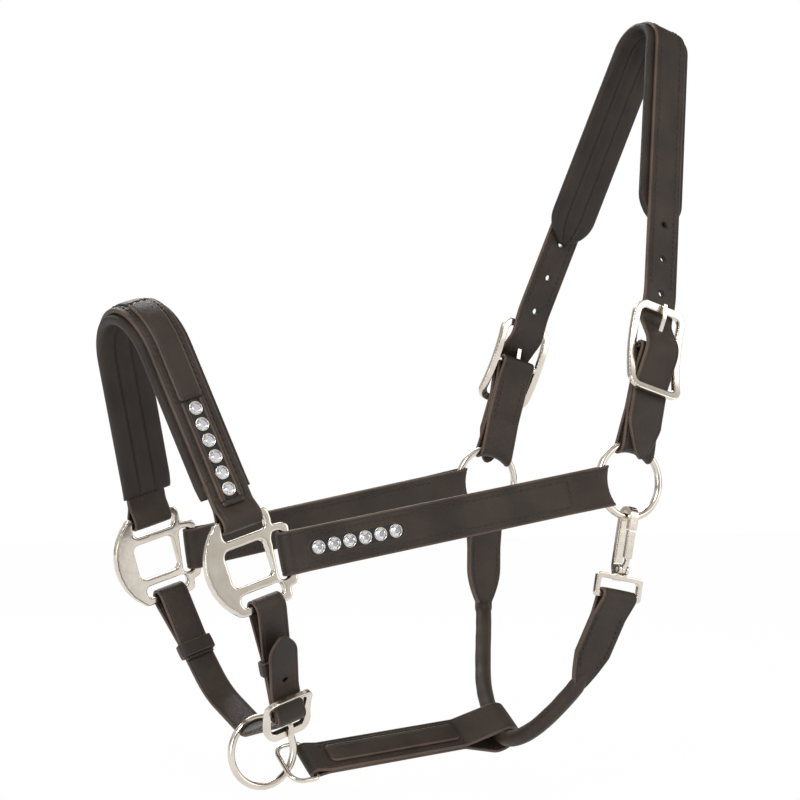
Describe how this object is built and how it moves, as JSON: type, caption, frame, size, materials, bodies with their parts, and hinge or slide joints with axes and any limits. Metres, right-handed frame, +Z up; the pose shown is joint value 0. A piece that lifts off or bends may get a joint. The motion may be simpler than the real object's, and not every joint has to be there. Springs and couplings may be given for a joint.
{
  "type": "leather headcollar",
  "caption": "Padded leather headcollar for a horse: noseband, cheek straps, buckled crown, chin strap with ring, rolled throat with snap hook.",
  "frame": {"origin": "where the crown rests on the poll: the middle of the crown padding's underside", "axes": "the horse faces -X, its near (left) side is -Y, +Z is up"},
  "size_m": [0.4165, 0.1838, 0.5001],
  "materials": {
    "strap_leather": "dark brown bridle leather, satin, burnished edges",
    "padding_leather": "soft dark brown lining leather over padding",
    "rolled_leather": "rolled dark brown leather, satin",
    "metal": "polished nickel plate",
    "crystal": "clear cut crystal",
    "backing": "black strip behind the crystals"
  },
  "bodies": {
    "straps_and_fittings": {"chin_buckle": "metal", "chin_dee": "metal", "chin_hanger": "strap_leather", "chin_strap": "strap_leather", "crown_padding": "padding_leather", "crown_strap": "strap_leather", "far_cheek_backing": "backing", "far_cheek_crystals": "crystal", "far_cheek_strap": "strap_leather", "far_crown_buckle": "metal", "far_crown_chape": "strap_leather", "far_nose_backing": "backing", "far_nose_crystals": "crystal", "far_square": "metal", "far_throat_chape": "strap_leather", "gullet_overlay": "strap_leather", "gullet_strap": "strap_leather", "near_cheek_backing": "backing", "near_cheek_crystals": "crystal", "near_cheek_strap": "strap_leather", "near_crown_buckle": "metal", "near_crown_chape": "strap_leather", "near_nose_backing": "backing", "near_nose_crystals": "crystal", "near_square": "metal", "near_throat_chape": "strap_leather", "noseband_overlay": "strap_leather", "noseband_padding": "padding_leather", "noseband_strap": "strap_leather", "snap_gate_pin": "metal", "snap_hook": "metal", "throat_roll": "rolled_leather"},
    "near_side_ring": {"near_side_ring": "metal"},
    "far_side_ring": {"far_side_ring": "metal"},
    "chin_ring": {"chin_ring": "metal"},
    "near_crown_tongue": {"near_crown_tongue": "metal"},
    "far_crown_tongue": {"far_crown_tongue": "metal"},
    "chin_tongue": {"chin_tongue": "metal"},
    "snap_gate": {"snap_gate": "metal"},
    "near_chin_keeper": {"near_chin_keeper": "strap_leather"},
    "far_chin_keeper": {"far_chin_keeper": "strap_leather"}
  },
  "joints": [
    {"name": "near_crown_tongue_lift", "type": "hinge", "parent": "straps_and_fittings", "child": "near_crown_tongue", "pos_m": [-0.06122, -0.07924, -0.22076], "axis": [0.9636, 0, -0.2672], "range_deg": [0, 4]},
    {"name": "far_crown_tongue_lift", "type": "hinge", "parent": "straps_and_fittings", "child": "far_crown_tongue", "pos_m": [-0.06122, 0.07924, -0.22076], "axis": [-0.9636, 0, 0.2672], "range_deg": [0, 4]},
    {"name": "chin_tongue_lift", "type": "hinge", "parent": "straps_and_fittings", "child": "chin_tongue", "pos_m": [-0.30717, -0.053, -0.43703], "axis": [-0.9511, 0, -0.309], "range_deg": [0, 4]},
    {"name": "near_side_ring_turn", "type": "hinge", "parent": "straps_and_fittings", "child": "near_side_ring", "pos_m": [-0.08391, -0.083, -0.30258], "axis": [0, -0.9976, 0.0698], "continuous": true},
    {"name": "far_side_ring_turn", "type": "hinge", "parent": "straps_and_fittings", "child": "far_side_ring", "pos_m": [-0.08391, 0.083, -0.30258], "axis": [0, 0.9976, 0.0698], "continuous": true},
    {"name": "chin_ring_swing", "type": "hinge", "parent": "straps_and_fittings", "child": "chin_ring", "pos_m": [-0.29166, -0.00256, -0.45984], "axis": [0.6691, 0, -0.7431], "range_deg": [-4, 20]},
    {"name": "snap_gate_open", "type": "hinge", "parent": "straps_and_fittings", "child": "snap_gate", "pos_m": [-0.09181, -0.0858, -0.35761], "axis": [-0.9826, 0, 0.1857], "range_deg": [0, 12], "stiffness_Nm_per_rad": 0.05, "springref_deg": -20.05},
    {"name": "near_chin_keeper_slide", "type": "slide", "parent": "straps_and_fittings", "child": "near_chin_keeper", "axis": [0.3018, 0.2153, -0.9288], "range_m": [-0.001, 0.003]},
    {"name": "far_chin_keeper_slide", "type": "slide", "parent": "straps_and_fittings", "child": "far_chin_keeper", "axis": [0.2803, -0.4213, -0.8625], "range_m": [0, 0.003]}
  ]
}
